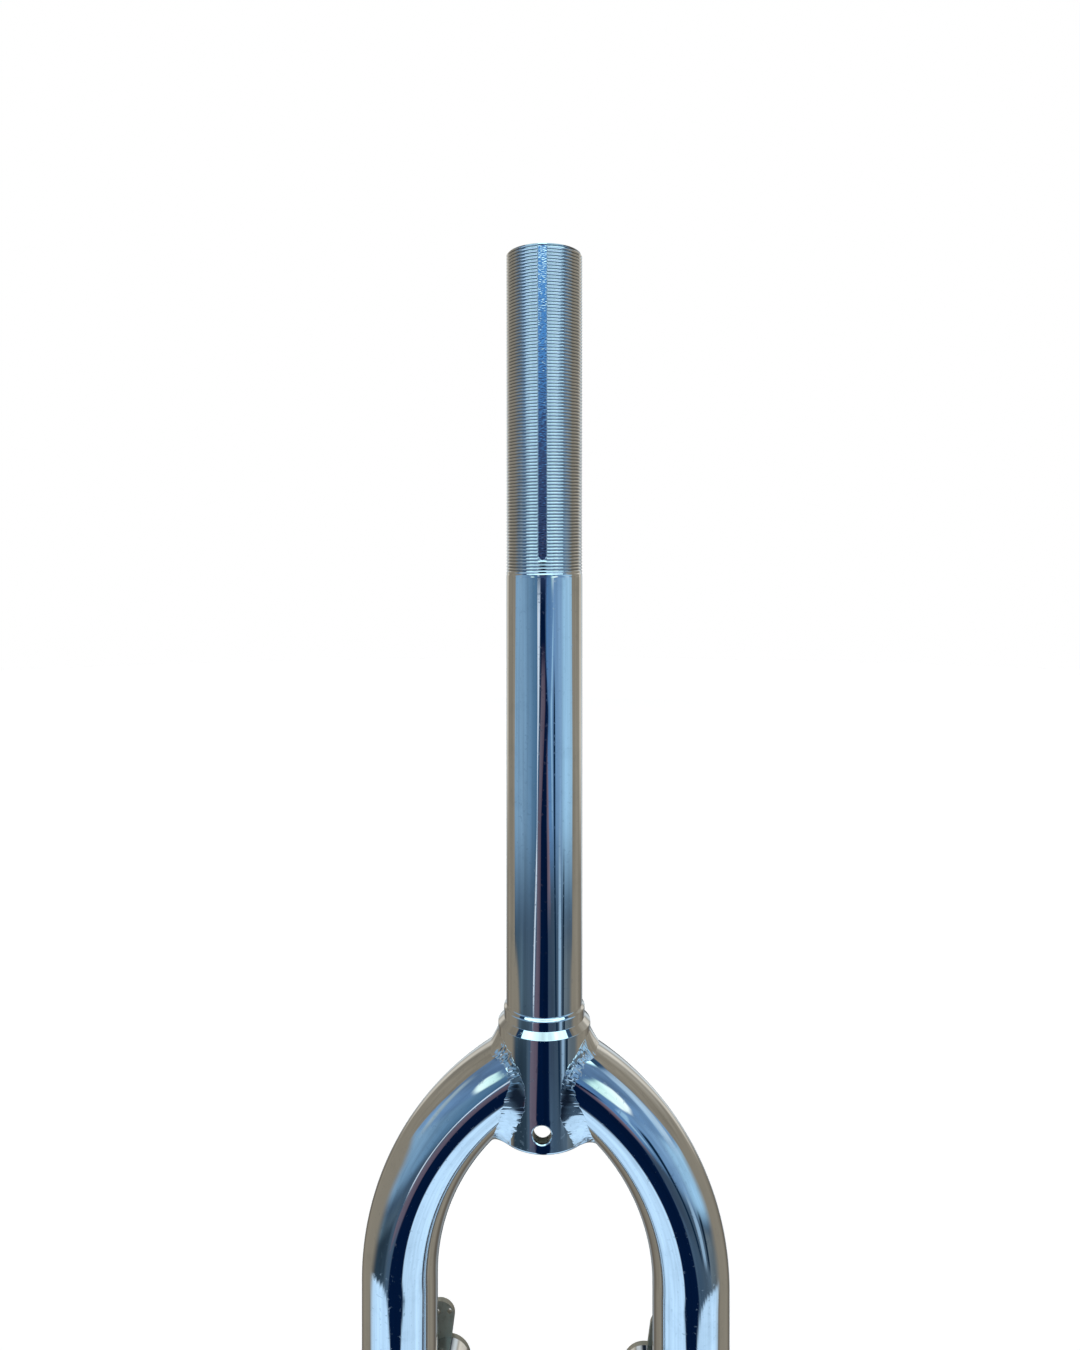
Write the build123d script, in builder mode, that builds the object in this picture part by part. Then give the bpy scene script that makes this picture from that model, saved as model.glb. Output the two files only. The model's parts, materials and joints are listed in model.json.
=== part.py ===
from build123d import *
from math import acos, cos, degrees, radians, sin, sqrt
import os

# Rigid bicycle fork: a threaded one-inch steerer with a thick base, two bent legs mitred and
# welded to the base, rim-brake bosses on the legs and dropouts in their tips.
# Millimetres. The origin is on the steerer's axis, level with the shoulder under the crown race.
# +Z runs up the steerer, +Y forward and +X to the rider's right.

# Steerer
steerer_diameter = 25.4
steerer_bore = 22.2
steerer_length = 254.0
steerer_chamfer = 1.0
seat_diameter = 27.0
seat_height = 4.0
base_diameter = 30.8
base_length = 38.6
base_edge_radius = 0.8
keyway_width = 3.1
keyway_depth = 0.9
keyway_length = 101.0
cross_hole_diameter = 6.0
cross_hole_height = 6.5
cross_hole_chamfer = 0.4

# Legs
leg_diameter = 25.4
leg_wall = 1.6
leg_spacing = 96.8
bend_radius = 82.3
joint_drop = 23.0
tip_diameter = 16.0
tip_wall = 1.8
tip_straight = 16.0
tip_angle = 22.0
rake_sections = 7

# Wheel axle and dropouts
axle_drop = 381.5
rake = 40.0
hub_width = 100.0
dropout_reach = 26.0
dropout_thickness = 6.0
dropout_head_radius = 13.0
dropout_edge_radius = 1.0
neck_length = 11.0
neck_width = 19.0
neck_shoulder = 0.8
root_width = 15.0
root_depth = 5.0
axle_slot_width = 9.2
spigot_length = 12.0
spigot_clearance = 0.05

# Rim-brake bosses: threaded sockets for screwed-in posts, and their spring plates
boss_spacing = 68.6
boss_above_axle = 253.2
foot_radius = 7.5
foot_front = 14.0
foot_chamfer = 1.5
collar_radius = 6.0
collar_length = 3.5
post_thread_radius = 4.4
post_thread_depth = 8.0
post_thread_chamfer = 0.6
plate_thickness = 2.0
plate_reach = 20.3
plate_inner_angle = 7.5
plate_outer_angle = 36.0
plate_corner_radius = 5.0
plate_clearance = 0.05
spring_hole_radius = 0.9
spring_hole_reach = 16.6
spring_hole_count = 3
spring_hole_pitch = 15.0
spring_hole_lead = 1.0
right_plate_turn = 15.0

# Weld beads
crown_bead = 3.6
boss_bead = 2.0
tip_bead = 1.8

steerer_radius = steerer_diameter / 2
seat_radius = seat_diameter / 2
base_radius = base_diameter / 2
leg_radius = leg_diameter / 2
tip_radius = tip_diameter / 2
leg_x = leg_spacing / 2
boss_x = boss_spacing / 2
boss_z = boss_above_axle - axle_drop
boss_front = foot_front + collar_length

# Steerer: a lathe profile, then the cross hole in the base and the keyway at the rear
with BuildPart() as steerer_tube:
    with BuildSketch(Plane.XZ):
        with BuildLine():
            Polyline(
                (steerer_bore / 2, -base_length),
                (base_radius, -base_length),
                (base_radius, seat_radius - base_radius),
                (seat_radius, 0),
                (seat_radius, seat_height - (seat_radius - steerer_radius)),
                (steerer_radius, seat_height),
                (steerer_radius, steerer_length),
                (steerer_bore / 2, steerer_length),
                close=True,
            )
        make_face()
    revolve(axis=Axis.Z)
    top_edge = steerer_tube.edges().group_by(Axis.Z)[-1].sort_by(SortBy.RADIUS)[-1]
    chamfer(top_edge, steerer_chamfer)
    bottom_edge = steerer_tube.edges().group_by(Axis.Z)[0].sort_by(SortBy.RADIUS)[-1]
    fillet(bottom_edge, base_edge_radius)
    with BuildSketch(Plane.XZ):
        with Locations((0, cross_hole_height - base_length)):
            Circle(cross_hole_diameter / 2)
    extrude(amount=base_diameter, both=True, mode=Mode.SUBTRACT)
    hole_mouths = steerer_tube.edges().sort_by(Axis.Y)
    chamfer([hole_mouths[0], hole_mouths[-1]], cross_hole_chamfer)
    with BuildSketch(Plane.XZ.offset(steerer_radius)):
        with Locations((0, steerer_length - keyway_length)):
            Rectangle(keyway_width, keyway_length, align=(Align.CENTER, Align.MIN))
            Circle(keyway_width / 2)
    extrude(amount=-keyway_depth, mode=Mode.SUBTRACT)

# Line of a leg: up from the axle, the tip runs straight, then curves back to upright.
# The curve also draws the tip from the dropout's plane in to the leg's own plane.
tip_direction = Vector(0, sin(radians(tip_angle)), -cos(radians(tip_angle)))
axle = Vector((hub_width + dropout_thickness) / 2, rake, -axle_drop)
tube_end = axle - tip_direction * dropout_reach
rake_end = tube_end - tip_direction * tip_straight
rake_radius = rake_end.Y / (1 - cos(radians(tip_angle)))
rake_start_z = rake_end.Z + rake_radius * sin(radians(tip_angle))
bend_angle = degrees(acos((bend_radius - leg_x) / bend_radius))
bend_drop = joint_drop + sqrt(bend_radius**2 - (bend_radius - leg_x + base_radius) ** 2)
bend_axis = Axis((leg_x - bend_radius, 0, -bend_drop), (0, -1, 0))
tip_plane = Plane(origin=rake_end, x_dir=(1, 0, 0), z_dir=tip_direction)
joint_plane = Plane(origin=tube_end, x_dir=(1, 0, 0), z_dir=tip_direction)


def rake_plane(share):
    """Plane square to the raked curve, at a share of its length."""
    turn = radians(tip_angle * share)
    ease = share * share * (3 - 2 * share)
    centre = (
        leg_x + (axle.X - leg_x) * ease,
        rake_radius * (1 - cos(turn)),
        rake_start_z - rake_radius * sin(turn),
    )
    return Plane(origin=centre, x_dir=(1, 0, 0), z_dir=(0, sin(turn), -cos(turn)))


def bend(radius):
    """Solid rod round the right leg's upper bend, from the steerer's axis to the straight stretch."""
    with BuildPart() as rod:
        with BuildSketch(Plane.XY.offset(-bend_drop)):
            with Locations((leg_x, 0)):
                Circle(radius)
        revolve(axis=bend_axis, revolution_arc=bend_angle)
    return rod


def blade(top_radius, end_radius):
    """Solid rod along the right leg, from the steerer's axis to the tube's end."""
    with BuildPart() as rod:
        add(bend(top_radius).part)
        with BuildSketch(Plane.XY.offset(rake_start_z)):
            with Locations((leg_x, 0)):
                Circle(top_radius)
        extrude(amount=-bend_drop - rake_start_z)
        for step in range(rake_sections):
            share = step / (rake_sections - 1)
            with BuildSketch(rake_plane(share)):
                Circle(top_radius + (end_radius - top_radius) * share)
        loft()
        with BuildSketch(tip_plane):
            Circle(end_radius)
        extrude(amount=tip_straight)
    return rod


# Legs: the bent tube, cut to the base's round side
leg_outside = blade(leg_radius, tip_radius)
leg_inside = blade(leg_radius - leg_wall, tip_radius - tip_wall)

with BuildPart() as right_leg:
    add(leg_outside.part)
    add(leg_inside.part, mode=Mode.SUBTRACT)
    Cylinder(base_radius, 2 * bend_drop, rotation=(0, 0, 180), mode=Mode.SUBTRACT)

# Bead in the corner between leg and base: the two joined, chamfered along the joint line, less both
leg_bend = bend(leg_radius)

with BuildPart() as right_crown_weld:
    Cylinder(base_radius, 2 * bend_drop, rotation=(0, 0, 180))
    add(leg_bend.part)
    joint_line = right_crown_weld.edges().filter_by(GeomType.BSPLINE)
    chamfer(joint_line, crown_bead)
    add(leg_bend.part, mode=Mode.SUBTRACT)
    Cylinder(base_radius, 2 * bend_drop, rotation=(0, 0, 180), mode=Mode.SUBTRACT)

# Dropout: a flat end with the axle slot, rooted in a forged neck, and a spigot in the leg's tip
root = tube_end + tip_direction * (neck_length - root_depth)
root_side = joint_plane.y_dir * (root_width / 2)
root_corners = [root - root_side, root + root_side]

with BuildPart() as right_dropout:
    with BuildSketch(Plane.YZ.offset(hub_width / 2)):
        with BuildLine():
            Line(*[(corner.Y, corner.Z) for corner in root_corners])
            CenterArc((axle.Y, axle.Z), dropout_head_radius, 0, 360)
        make_hull()
        with Locations((axle.Y, axle.Z)):
            Circle(axle_slot_width / 2, mode=Mode.SUBTRACT)
            Rectangle(
                axle_slot_width,
                2 * dropout_head_radius,
                align=(Align.CENTER, Align.MAX),
                mode=Mode.SUBTRACT,
            )
    extrude(amount=dropout_thickness)
    fillet(right_dropout.faces().filter_by(Axis.X).edges(), dropout_edge_radius)
    with BuildSketch(joint_plane):
        Circle(tip_radius)
    with BuildSketch(joint_plane.offset(neck_length)):
        RectangleRounded(dropout_thickness + 2 * neck_shoulder, neck_width, neck_shoulder)
    loft()
    with BuildSketch(joint_plane):
        Circle(tip_radius - tip_wall - spigot_clearance)
    extrude(amount=-spigot_length)

with BuildPart() as right_dropout_weld:
    with BuildSketch(Plane(origin=tube_end, x_dir=(1, 0, 0), z_dir=joint_plane.y_dir)):
        with Locations((tip_radius, 0)):
            Circle(tip_bead)
    revolve(axis=Axis(tube_end, tip_direction))
    add(leg_outside.part, mode=Mode.SUBTRACT)
    add(right_dropout.part, mode=Mode.SUBTRACT)

# Brake boss: a turned socket, cut to sit on the inner front of the leg
with BuildPart() as right_brake_boss:
    with BuildSketch(Plane.XY.offset(boss_z)):
        with BuildLine():
            Polyline(
                (boss_x, 0),
                (boss_x + foot_radius - foot_chamfer, 0),
                (boss_x + foot_radius, foot_chamfer),
                (boss_x + foot_radius, foot_front),
                (boss_x + collar_radius, foot_front),
                (boss_x + collar_radius, boss_front),
                (boss_x + post_thread_radius + post_thread_chamfer, boss_front),
                (boss_x + post_thread_radius, boss_front - post_thread_chamfer),
                (boss_x + post_thread_radius, boss_front - post_thread_depth),
                (boss_x, boss_front - post_thread_depth),
                close=True,
            )
        make_face()
    revolve(axis=Axis((boss_x, 0, boss_z), (0, 1, 0)))
    add(leg_outside.part, mode=Mode.SUBTRACT)

with BuildPart() as right_boss_weld:
    with BuildSketch(Plane.XZ.offset(boss_bead)):
        with Locations((boss_x, boss_z)):
            Circle(foot_radius + boss_bead)
    extrude(amount=-foot_front)
    with BuildSketch(Plane.XY.offset(boss_z)):
        with Locations((leg_x, 0)):
            Circle(leg_radius + boss_bead)
    extrude(amount=2 * foot_radius, both=True, mode=Mode.INTERSECT)
    with BuildSketch(Plane.XZ):
        with Locations((boss_x, boss_z)):
            Circle(collar_radius)
    extrude(amount=-foot_front, mode=Mode.SUBTRACT)
    add(leg_outside.part, mode=Mode.SUBTRACT)
    add(right_brake_boss.part, mode=Mode.SUBTRACT)


def spring_plate(turn):
    """Stamped plate round the right boss's collar, its fan turned outwards by some degrees."""
    upright = 90 - turn
    fan_angle = plate_inner_angle + plate_outer_angle
    holes_angle = spring_hole_pitch * (spring_hole_count - 1)
    with BuildPart() as plate:
        with BuildSketch(Plane.XZ.offset(-foot_front)) as outline:
            with BuildLine():
                fan = CenterArc((boss_x, boss_z), plate_reach, upright - plate_outer_angle, fan_angle)
                Polyline(fan @ 1, (boss_x, boss_z), fan @ 0)
            make_face()
            fan_corners = outline.vertices().sort_by_distance((boss_x, boss_z))[-2:]
            fillet(fan_corners, plate_corner_radius)
            with Locations((boss_x, boss_z)):
                Circle(foot_radius)
                Circle(collar_radius + plate_clearance, mode=Mode.SUBTRACT)
                with PolarLocations(
                    spring_hole_reach,
                    spring_hole_count,
                    upright + spring_hole_lead,
                    -holes_angle,
                    endpoint=True,
                ):
                    Circle(spring_hole_radius, mode=Mode.SUBTRACT)
        extrude(amount=-plate_thickness)
    return plate


left_spring_plate = spring_plate(0)
right_spring_plate = spring_plate(right_plate_turn)

# Every piece but the steerer has a twin on the rider's left
right_pieces = {
    "leg": right_leg,
    "crown_weld": right_crown_weld,
    "dropout": right_dropout,
    "dropout_weld": right_dropout_weld,
    "brake_boss": right_brake_boss,
    "boss_weld": right_boss_weld,
    "spring_plate": right_spring_plate,
}
twins = {**right_pieces, "spring_plate": left_spring_plate}
pieces = {"steerer_tube": steerer_tube}
for name, twin in twins.items():
    with BuildPart() as left_piece:
        mirror(twin.part, about=Plane.YZ)
    pieces[f"left_{name}"] = left_piece
    pieces[f"right_{name}"] = right_pieces[name]

os.makedirs("parts", exist_ok=True)
for name, piece in pieces.items():
    piece.part.label = name
    export_step(piece.part, f"parts/{name}.step")
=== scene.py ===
# %% [markdown]
# # A chrome-plated bicycle fork
#
# The imported model already has every piece at its true size, so this lesson only dresses it. The frame
# comes first, because each new surface takes its place from it. Its box is kept for the last cell, which
# lays the floor level with the bottom of the fork.

# %% Load the frame
import json
import bmesh
import bpy
import numpy as np
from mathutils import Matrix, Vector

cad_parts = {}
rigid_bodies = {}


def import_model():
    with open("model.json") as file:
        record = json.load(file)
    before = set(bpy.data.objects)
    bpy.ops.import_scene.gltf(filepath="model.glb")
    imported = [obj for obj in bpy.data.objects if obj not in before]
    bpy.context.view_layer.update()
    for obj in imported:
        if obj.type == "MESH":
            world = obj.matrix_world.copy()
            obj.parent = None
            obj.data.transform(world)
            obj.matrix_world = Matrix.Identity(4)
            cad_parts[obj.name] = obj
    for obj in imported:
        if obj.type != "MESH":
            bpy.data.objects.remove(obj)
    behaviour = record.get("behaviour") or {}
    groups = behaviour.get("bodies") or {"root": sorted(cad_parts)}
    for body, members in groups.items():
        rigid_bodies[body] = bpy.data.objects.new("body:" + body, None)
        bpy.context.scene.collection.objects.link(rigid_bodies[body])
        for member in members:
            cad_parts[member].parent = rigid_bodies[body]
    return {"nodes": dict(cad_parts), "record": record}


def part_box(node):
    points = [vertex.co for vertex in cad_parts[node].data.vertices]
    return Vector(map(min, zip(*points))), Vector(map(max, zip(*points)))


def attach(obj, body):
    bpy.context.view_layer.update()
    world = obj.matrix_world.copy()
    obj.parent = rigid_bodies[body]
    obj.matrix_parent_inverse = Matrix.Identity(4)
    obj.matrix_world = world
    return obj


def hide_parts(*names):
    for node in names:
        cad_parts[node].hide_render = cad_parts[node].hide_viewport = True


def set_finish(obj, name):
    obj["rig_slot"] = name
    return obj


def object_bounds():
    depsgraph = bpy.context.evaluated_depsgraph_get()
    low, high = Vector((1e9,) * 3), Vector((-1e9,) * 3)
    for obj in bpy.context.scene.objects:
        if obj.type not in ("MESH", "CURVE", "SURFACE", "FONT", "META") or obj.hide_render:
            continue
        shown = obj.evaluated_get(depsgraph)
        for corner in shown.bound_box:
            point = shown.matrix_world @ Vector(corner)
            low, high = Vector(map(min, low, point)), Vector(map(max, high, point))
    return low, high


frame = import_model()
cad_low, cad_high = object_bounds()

MM = 0.001
HAIR = 1e-6  # for comparing lengths and angles
record = frame["record"]
mounts = {mount["name"]: mount for mount in record["mounts"]}
print("nodes:", len(frame["nodes"]), "box:", [round(b - a, 4) for a, b in zip(cad_low, cad_high)])

# %% [markdown]
# ## The camera
#
# The fork is seen from behind, by a level camera a forearm's length away. A camera that isn't tilted keeps
# uprights parallel, so the picture is framed by shifting the sensor and not by turning the camera. The lens
# follows from the focal length in pixels: the long side of the picture stands for 36 mm of sensor.

# %% Camera
IMAGE_TALL = 1350
FOCAL_PIXELS = 970
SENSOR = 36
EYE_DISTANCE = 325 * MM
EYE_HEIGHT = 146.9 * MM
EYE_TURN = np.radians(3)
HORIZON_ABOVE_CENTRE = 100
AXIS_RIGHT_OF_CENTRE = 4.3


def show(thing):
    """Put an object into the scene."""
    bpy.context.scene.collection.objects.link(thing)


lens = bpy.data.cameras.new("camera")
lens.sensor_width = SENSOR
lens.lens = FOCAL_PIXELS / IMAGE_TALL * SENSOR
lens.shift_x = -AXIS_RIGHT_OF_CENTRE / IMAGE_TALL
lens.shift_y = -HORIZON_ABOVE_CENTRE / IMAGE_TALL
lens.clip_start = 10 * MM
camera = bpy.data.objects.new("camera", lens)
camera.location = (EYE_DISTANCE * np.sin(EYE_TURN), -EYE_DISTANCE * np.cos(EYE_TURN), EYE_HEIGHT)
camera.rotation_euler = (np.radians(90), 0, EYE_TURN)
show(camera)
bpy.context.scene.camera = camera
bpy.context.scene.view_settings.view_transform = "Standard"
print("lens", round(lens.lens, 2), "mm")

# %% [markdown]
# ## From arrays to meshes
#
# A tube or a bead is a sheet of points with rows and columns. If each point has a number, the four-sided
# faces are that table of numbers beside itself moved by one row and one column. Two tables can share
# numbers, and then the sheets are joined without any merging.

# %% Sheets of points
def numbered(sheet):
    """Table of point numbers for a sheet: counted from 0 along each row, then row by row."""
    return np.arange(sheet.size // 3).reshape(sheet.shape[:2])


def quads(index, close_rows=False, close_columns=True):
    """Faces of a table of point numbers.

    Each face joins a point, the one on its right, the diagonal one and the one above it.
    """
    if close_rows:
        index = np.vstack([index, index[:1]])
    if close_columns:
        index = np.hstack([index, index[:, :1]])
    cells = (index[:-1, :-1], index[:-1, 1:], index[1:, 1:], index[1:, :-1])
    return np.stack(cells, axis=-1).reshape(-1, 4)


def make_piece(name, points, faces, slot, nodes=()):
    """Mesh of the points that the faces use, smooth and facing outwards, riding on the fork."""
    used, faces = np.unique(faces, return_inverse=True)
    points = points.reshape(-1, 3)[used]
    faces = faces.reshape(-1, 4)
    mesh = bpy.data.meshes.new(name)
    mesh.from_pydata(points, [], faces)
    shell = bmesh.new()
    shell.from_mesh(mesh)
    bmesh.ops.recalc_face_normals(shell, faces=shell.faces)
    shell.to_mesh(mesh)
    shell.free()
    mesh.polygons.foreach_set("use_smooth", np.ones(len(mesh.polygons), bool))
    piece = bpy.data.objects.new(name, mesh)
    show(piece)
    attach(piece, "root")
    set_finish(piece, slot)
    if nodes:
        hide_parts(*nodes)
    print(name, len(faces) * 2, "triangles")
    return piece


# %% [markdown]
# ## The steerer's lathe profile
#
# The steerer is one turned tube: a thick base, a bevelled shoulder, the ring that the crown race is
# pressed on, a plain stretch and a long thread. It could be lathed with a Screw modifier, but the thread and
# the cross hole need their own say over each point, so the profile is laid out here as radius and height.
# Real turned edges are never quite sharp. A small arc at each corner catches a line of light, and a guard
# point on either side keeps the smooth shading from bleeding into the flats.

# %% Profile of the steerer
steerer_low, steerer_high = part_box("steerer_tube")
STEERER_RADIUS = mounts["steerer"]["dims"]["r_mm"] * MM
BORE_RADIUS = mounts["stem_bore"]["dims"]["r_mm"] * MM
SEAT_RADIUS = mounts["crown_race_seat"]["dims"]["r_mm"] * MM
SEAT_HEIGHT = mounts["crown_race_seat"]["dims"]["length_mm"] * MM
BASE_RADIUS = steerer_high.x - HAIR
BASE_BOTTOM = steerer_low.z
STEERER_TOP = steerer_high.z
BASE_EDGE = 0.8 * MM
TURNED_EDGE = 0.15 * MM
SEAT_FILLET = 0.7 * MM
GUARD = 0.12 * MM
ARC_POINTS = 5


def soften(corners, radii):
    """Round each inner corner of a line of (radius, height) points with an arc tangent to both its sides."""
    line = [corners[0]]
    for before, corner, after, radius in zip(corners, corners[1:], corners[2:], radii):
        back, ahead = before - corner, after - corner
        back, ahead = back / np.hypot(*back), ahead / np.hypot(*ahead)
        inward = (back + ahead) / np.hypot(*(back + ahead))
        across = (ahead - back) / np.hypot(*(ahead - back))
        half = np.arccos(np.clip(back @ ahead, -1, 1)) / 2
        reach = radius / np.tan(half)
        middle = corner + inward * radius / np.sin(half)
        spread = np.linspace(-1, 1, ARC_POINTS)[:, None] * (np.pi / 2 - half)
        arc = middle + radius * (np.sin(spread) * across - np.cos(spread) * inward)
        line += [corner + back * (reach + GUARD), *arc, corner + ahead * (reach + GUARD)]
    return np.array(line + [corners[-1]])


base_profile = soften(
    np.array([
        (BORE_RADIUS, BASE_BOTTOM),
        (BASE_RADIUS, BASE_BOTTOM),
        (BASE_RADIUS, SEAT_RADIUS - BASE_RADIUS),
        (SEAT_RADIUS, 0),
        (SEAT_RADIUS, SEAT_HEIGHT),
        (STEERER_RADIUS, SEAT_HEIGHT + SEAT_RADIUS - STEERER_RADIUS),
        (STEERER_RADIUS, STEERER_TOP / 2),
    ]),
    (BASE_EDGE, TURNED_EDGE, TURNED_EDGE, SEAT_FILLET, SEAT_FILLET),
)
print("profile points below the thread:", len(base_profile))

# %% [markdown]
# ## The thread, the keyway and the cross hole
#
# The thread is a one-inch bicycle thread of 24 turns to the inch. On the grid it is a wave of the radius whose
# phase climbs by one pitch in each turn, faded out over the last turns. Plating has filled its roots, so the
# wave is shallow. The keyway is a flat floor that wins wherever it lies deeper. Its columns stand closer,
# two of them together at each wall, so the walls are steep and the floor keeps the grain of the cutter. The
# cross hole can't be a wave: cells are left out of the wall and of the bore, and a sleeve of rings joins
# the two square windows through the round hole.

# %% Thread and keyway
THREAD_PITCH = 25.4 * MM / 24
THREAD_DEPTH = 0.34 * THREAD_PITCH
THREAD_BOTTOM = 146.0 * MM
THREAD_FADE = 2.5 * THREAD_PITCH
ROWS_PER_TURN = 9
TOP_CHAMFER = 0.5 * MM
KEYWAY_WIDTH = 3.1 * MM
KEYWAY_FLOOR = STEERER_RADIUS - 0.9 * MM
KEYWAY_BOTTOM = STEERER_TOP - 101 * MM
CUTTER_GRAIN = 0.012 * MM
COLUMN_STEP = 4.5
WALL_STEPS = np.array([-0.1, 0.2, 0.8])
FLOOR_INSET = 0.5
FLOOR_COLUMNS = 11
REAR_DEGREES = 270
REAR = np.radians(REAR_DEGREES)
FRONT = np.radians(90)

wall = np.degrees(np.arcsin(KEYWAY_WIDTH / 2 / STEERER_RADIUS))
plain_columns = np.arange(0, 360, COLUMN_STEP)
plain_columns = plain_columns[abs(plain_columns - REAR_DEGREES) > wall + COLUMN_STEP / 2]
edges = wall + WALL_STEPS
floor_columns = np.linspace(FLOOR_INSET - wall, wall - FLOOR_INSET, FLOOR_COLUMNS)
keyway_columns = REAR_DEGREES + np.concatenate([-edges, floor_columns, edges])
columns = np.radians(np.sort(np.concatenate([plain_columns, keyway_columns])))
thread_rows = np.arange(THREAD_BOTTOM, STEERER_TOP - TOP_CHAMFER, THREAD_PITCH / ROWS_PER_TURN)
rng = np.random.default_rng(24)


def ease(value):
    """Smooth step from 0 to 1: 3t squared minus 2t cubed."""
    value = np.clip(value, 0, 1)
    return value * value * (3 - 2 * value)


def thread_radius(height, angle):
    """Radius of the thread: a cosine whose phase is height in pitches less angle in turns, less the keyway."""
    phase = 2 * np.pi * (height / THREAD_PITCH) - angle
    fade = ease((height - THREAD_BOTTOM) / THREAD_FADE)
    radius = STEERER_RADIUS - THREAD_DEPTH * fade * (0.5 - 0.5 * np.cos(phase))
    across = STEERER_RADIUS * np.sin(angle - REAR)
    run_out = KEYWAY_WIDTH / 2 - np.sqrt(np.clip(KEYWAY_WIDTH**2 / 4 - across**2, 0, None))
    inside = (abs(across) < KEYWAY_WIDTH / 2) & (np.cos(angle - REAR) > 0)
    inside = inside & (height > KEYWAY_BOTTOM - KEYWAY_WIDTH / 2 + run_out)
    grain = rng.normal(0, CUTTER_GRAIN, radius.shape)
    floor = KEYWAY_FLOOR / np.cos(np.where(inside, angle - REAR, 0)) + grain
    return np.where(inside, np.minimum(radius, floor), radius)


print("thread rows", len(thread_rows), "columns", len(columns))

# %% Cross hole
HOLE_RADIUS = mounts["brake_hole"]["dims"]["r_mm"] * MM
HOLE_HEIGHT = mounts["brake_hole"]["pos_m"][2]
HOLE_CHAMFER = 0.4 * MM
WINDOW_TURN = np.radians(22.5)
WINDOW_HALF = 5.2 * MM
WINDOW_ROWS = 13
TO_MOUTH = (0.3, 0.6, 0.85, 0.97, 1)
THROUGH_WALL = (0, 0.1, 0.5, 0.9, 1)
TO_BORE = (0.1, 0.5)
window_rows = HOLE_HEIGHT + np.linspace(-WINDOW_HALF, WINDOW_HALF, WINDOW_ROWS)


def window_loop(index, rows, cols):
    """Point numbers round a window of the table: along the bottom, up, back along the top and down."""
    rim = [index[rows[0], cols[:-1]], index[rows[:-1], cols[-1]]]
    rim += [index[rows[-1], cols[:0:-1]], index[rows[:0:-1], cols[0]]]
    return np.concatenate(rim)


def hole_sleeve(outer, inner, side):
    """Rings from the outer window to a round chamfered hole, through the wall, and out to the inner window."""
    turn = np.arctan2(outer[:, 2] - HOLE_HEIGHT, outer[:, 0])
    ring = np.stack([np.cos(turn), np.sin(turn)], axis=-1)
    centre = np.array([0, HOLE_HEIGHT])
    mouth = centre + ring * (HOLE_RADIUS + HOLE_CHAMFER)
    round_hole = centre + ring * HOLE_RADIUS
    rings = []
    for share in TO_MOUTH:
        flat = outer[:, ::2] + (mouth - outer[:, ::2]) * share
        rings.append((flat, np.sqrt(BASE_RADIUS**2 - flat[:, 0] ** 2)))
    wall_depth = np.sqrt(BASE_RADIUS**2 - round_hole[:, 0] ** 2) - HOLE_CHAMFER
    bore_depth = np.sqrt(BORE_RADIUS**2 - round_hole[:, 0] ** 2)
    rings += [(round_hole, wall_depth + (bore_depth - wall_depth) * share) for share in THROUGH_WALL]
    for share in TO_BORE:
        flat = round_hole + (inner[:, ::2] - round_hole) * share
        rings.append((flat, np.sqrt(BORE_RADIUS**2 - flat[:, 0] ** 2)))
    return np.array([np.stack([flat[:, 0], side * depth, flat[:, 1]], axis=-1) for flat, depth in rings])


print("cross hole", round(2 * HOLE_RADIUS / MM, 2), "mm wide")

# %% Rows of the steerer
RIM_DROP = 0.02 * MM
RIM_INSET = 0.05 * MM
BORE_EDGE = 0.15 * MM
BORE_GUARD = 0.4 * MM
on_wall = (base_profile[:, 0] > BASE_RADIUS - HAIR) & (base_profile[:, 1] < window_rows[0])
lower = base_profile[: np.flatnonzero(on_wall)[-1] + 1]
upper = base_profile[len(lower):-1]
window = np.column_stack([np.full(WINDOW_ROWS, BASE_RADIUS), window_rows])
thread = np.column_stack([np.full(len(thread_rows), STEERER_RADIUS), thread_rows])
top = np.array([
    (STEERER_RADIUS - TOP_CHAMFER, STEERER_TOP - RIM_DROP),
    (STEERER_RADIUS - TOP_CHAMFER - RIM_INSET, STEERER_TOP),
    (BORE_RADIUS + BORE_EDGE, STEERER_TOP),
    (BORE_RADIUS, STEERER_TOP - BORE_EDGE),
    (BORE_RADIUS, STEERER_TOP - BORE_GUARD),
])
bore_window = np.column_stack([np.full(WINDOW_ROWS, BORE_RADIUS), window_rows[::-1]])
last = np.array([(BORE_RADIUS, BASE_BOTTOM + BORE_GUARD), (BORE_RADIUS, BASE_BOTTOM + BORE_EDGE)])
rows = np.vstack([lower, window, upper, thread, top, bore_window, last])
print("rows of the steerer", len(rows))

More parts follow.
